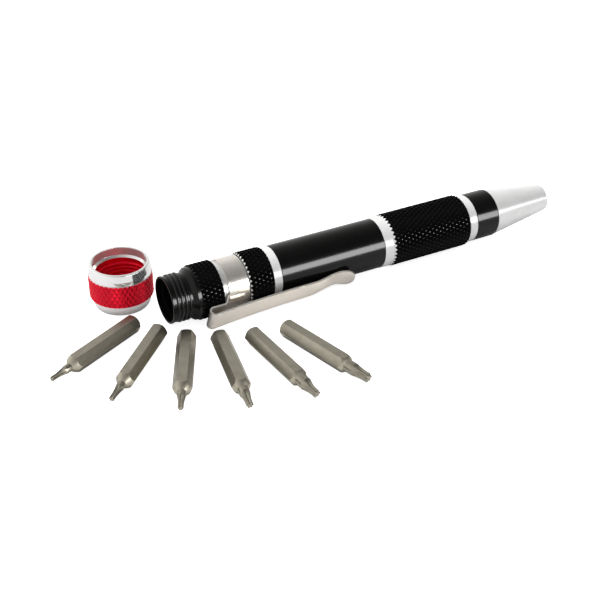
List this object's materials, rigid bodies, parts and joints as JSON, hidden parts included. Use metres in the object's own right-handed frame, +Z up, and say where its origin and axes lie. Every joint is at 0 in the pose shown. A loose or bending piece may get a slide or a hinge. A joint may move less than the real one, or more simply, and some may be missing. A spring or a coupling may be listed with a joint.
{
  "type": "pocket screwdriver",
  "caption": "Pen-style pocket screwdriver with knurled handle, spring clip, magnetic hexagon nose and storage tube, laid out with its threaded cap off and its star bits fanned out.",
  "frame": {"origin": "on the table, under the middle of the laid-out set's box", "axes": "+X along the handle from its open storage end to its nose, +Y from the bits towards the far side, +Z up"},
  "size_m": [0.1436, 0.067, 0.0137],
  "materials": {
    "black_tube": "black anodised, satin, worn bright on the thread ridges",
    "black_knurl": "black anodised diamond knurl",
    "black_gloss": "black anodised, glossy",
    "bright_ring": "turned bright",
    "nose_satin": "turned satin",
    "red_knurl": "red anodised diamond knurl",
    "clip_steel": "polished nickel-plated spring steel",
    "bit_steel": "satin nickel",
    "socket_steel": "turned steel",
    "magnet_nickel": "nickel plated"
  },
  "bodies": {
    "handle": {"storage_tube": "black_tube", "rear_knurl_ring": "black_knurl", "clip_seat": "bright_ring", "middle_knurl_ring": "black_knurl", "rear_bright_ring": "bright_ring", "barrel_sleeve": "black_gloss", "grip_bright_ring": "bright_ring", "knurled_grip": "black_knurl", "front_bright_ring": "bright_ring", "front_collar": "black_gloss", "nose_cone": "nose_satin", "bit_socket": "socket_steel", "socket_magnet": "magnet_nickel"},
    "clip_band": {"clip_band": "clip_steel"},
    "clip_arm": {"clip_arm": "clip_steel"},
    "cap": {"cap_body": "red_knurl", "cap_mouth_ring": "bright_ring", "cap_end": "bright_ring"},
    "star_bit_1": {"star_bit_1": "bit_steel"},
    "star_bit_2": {"star_bit_2": "bit_steel"},
    "star_bit_3": {"star_bit_3": "bit_steel"},
    "star_bit_4": {"star_bit_4": "bit_steel"},
    "star_bit_5": {"star_bit_5": "bit_steel"},
    "star_bit_6": {"star_bit_6": "bit_steel"}
  },
  "joints": [
    {"name": "clip_swivel", "type": "hinge", "parent": "handle", "child": "clip_band", "pos_m": [-0.02251, 0.01099, 0.00685], "axis": [-1, 0, 0], "continuous": true},
    {"name": "clip_flex", "type": "hinge", "parent": "clip_band", "child": "clip_arm", "pos_m": [-0.03016, 0.00349, 0.00335], "axis": [0, 0.4226, -0.9063], "range_deg": [0, 4], "stiffness_Nm_per_rad": 1.6},
    {"name": "cap_lift", "type": "slide", "parent": "handle", "child": "cap", "axis": [0, 0, 1], "range_m": [0, 0.04]},
    {"name": "bit_1_lift", "type": "slide", "parent": "handle", "child": "star_bit_1", "axis": [0, 0, 1], "range_m": [0, 0.03]},
    {"name": "bit_2_lift", "type": "slide", "parent": "handle", "child": "star_bit_2", "axis": [0, 0, 1], "range_m": [0, 0.03]},
    {"name": "bit_3_lift", "type": "slide", "parent": "handle", "child": "star_bit_3", "axis": [0, 0, 1], "range_m": [0, 0.03]},
    {"name": "bit_4_lift", "type": "slide", "parent": "handle", "child": "star_bit_4", "axis": [0, 0, 1], "range_m": [0, 0.03]},
    {"name": "bit_5_lift", "type": "slide", "parent": "handle", "child": "star_bit_5", "axis": [0, 0, 1], "range_m": [0, 0.03]},
    {"name": "bit_6_lift", "type": "slide", "parent": "handle", "child": "star_bit_6", "axis": [0, 0, 1], "range_m": [0, 0.03]}
  ]
}
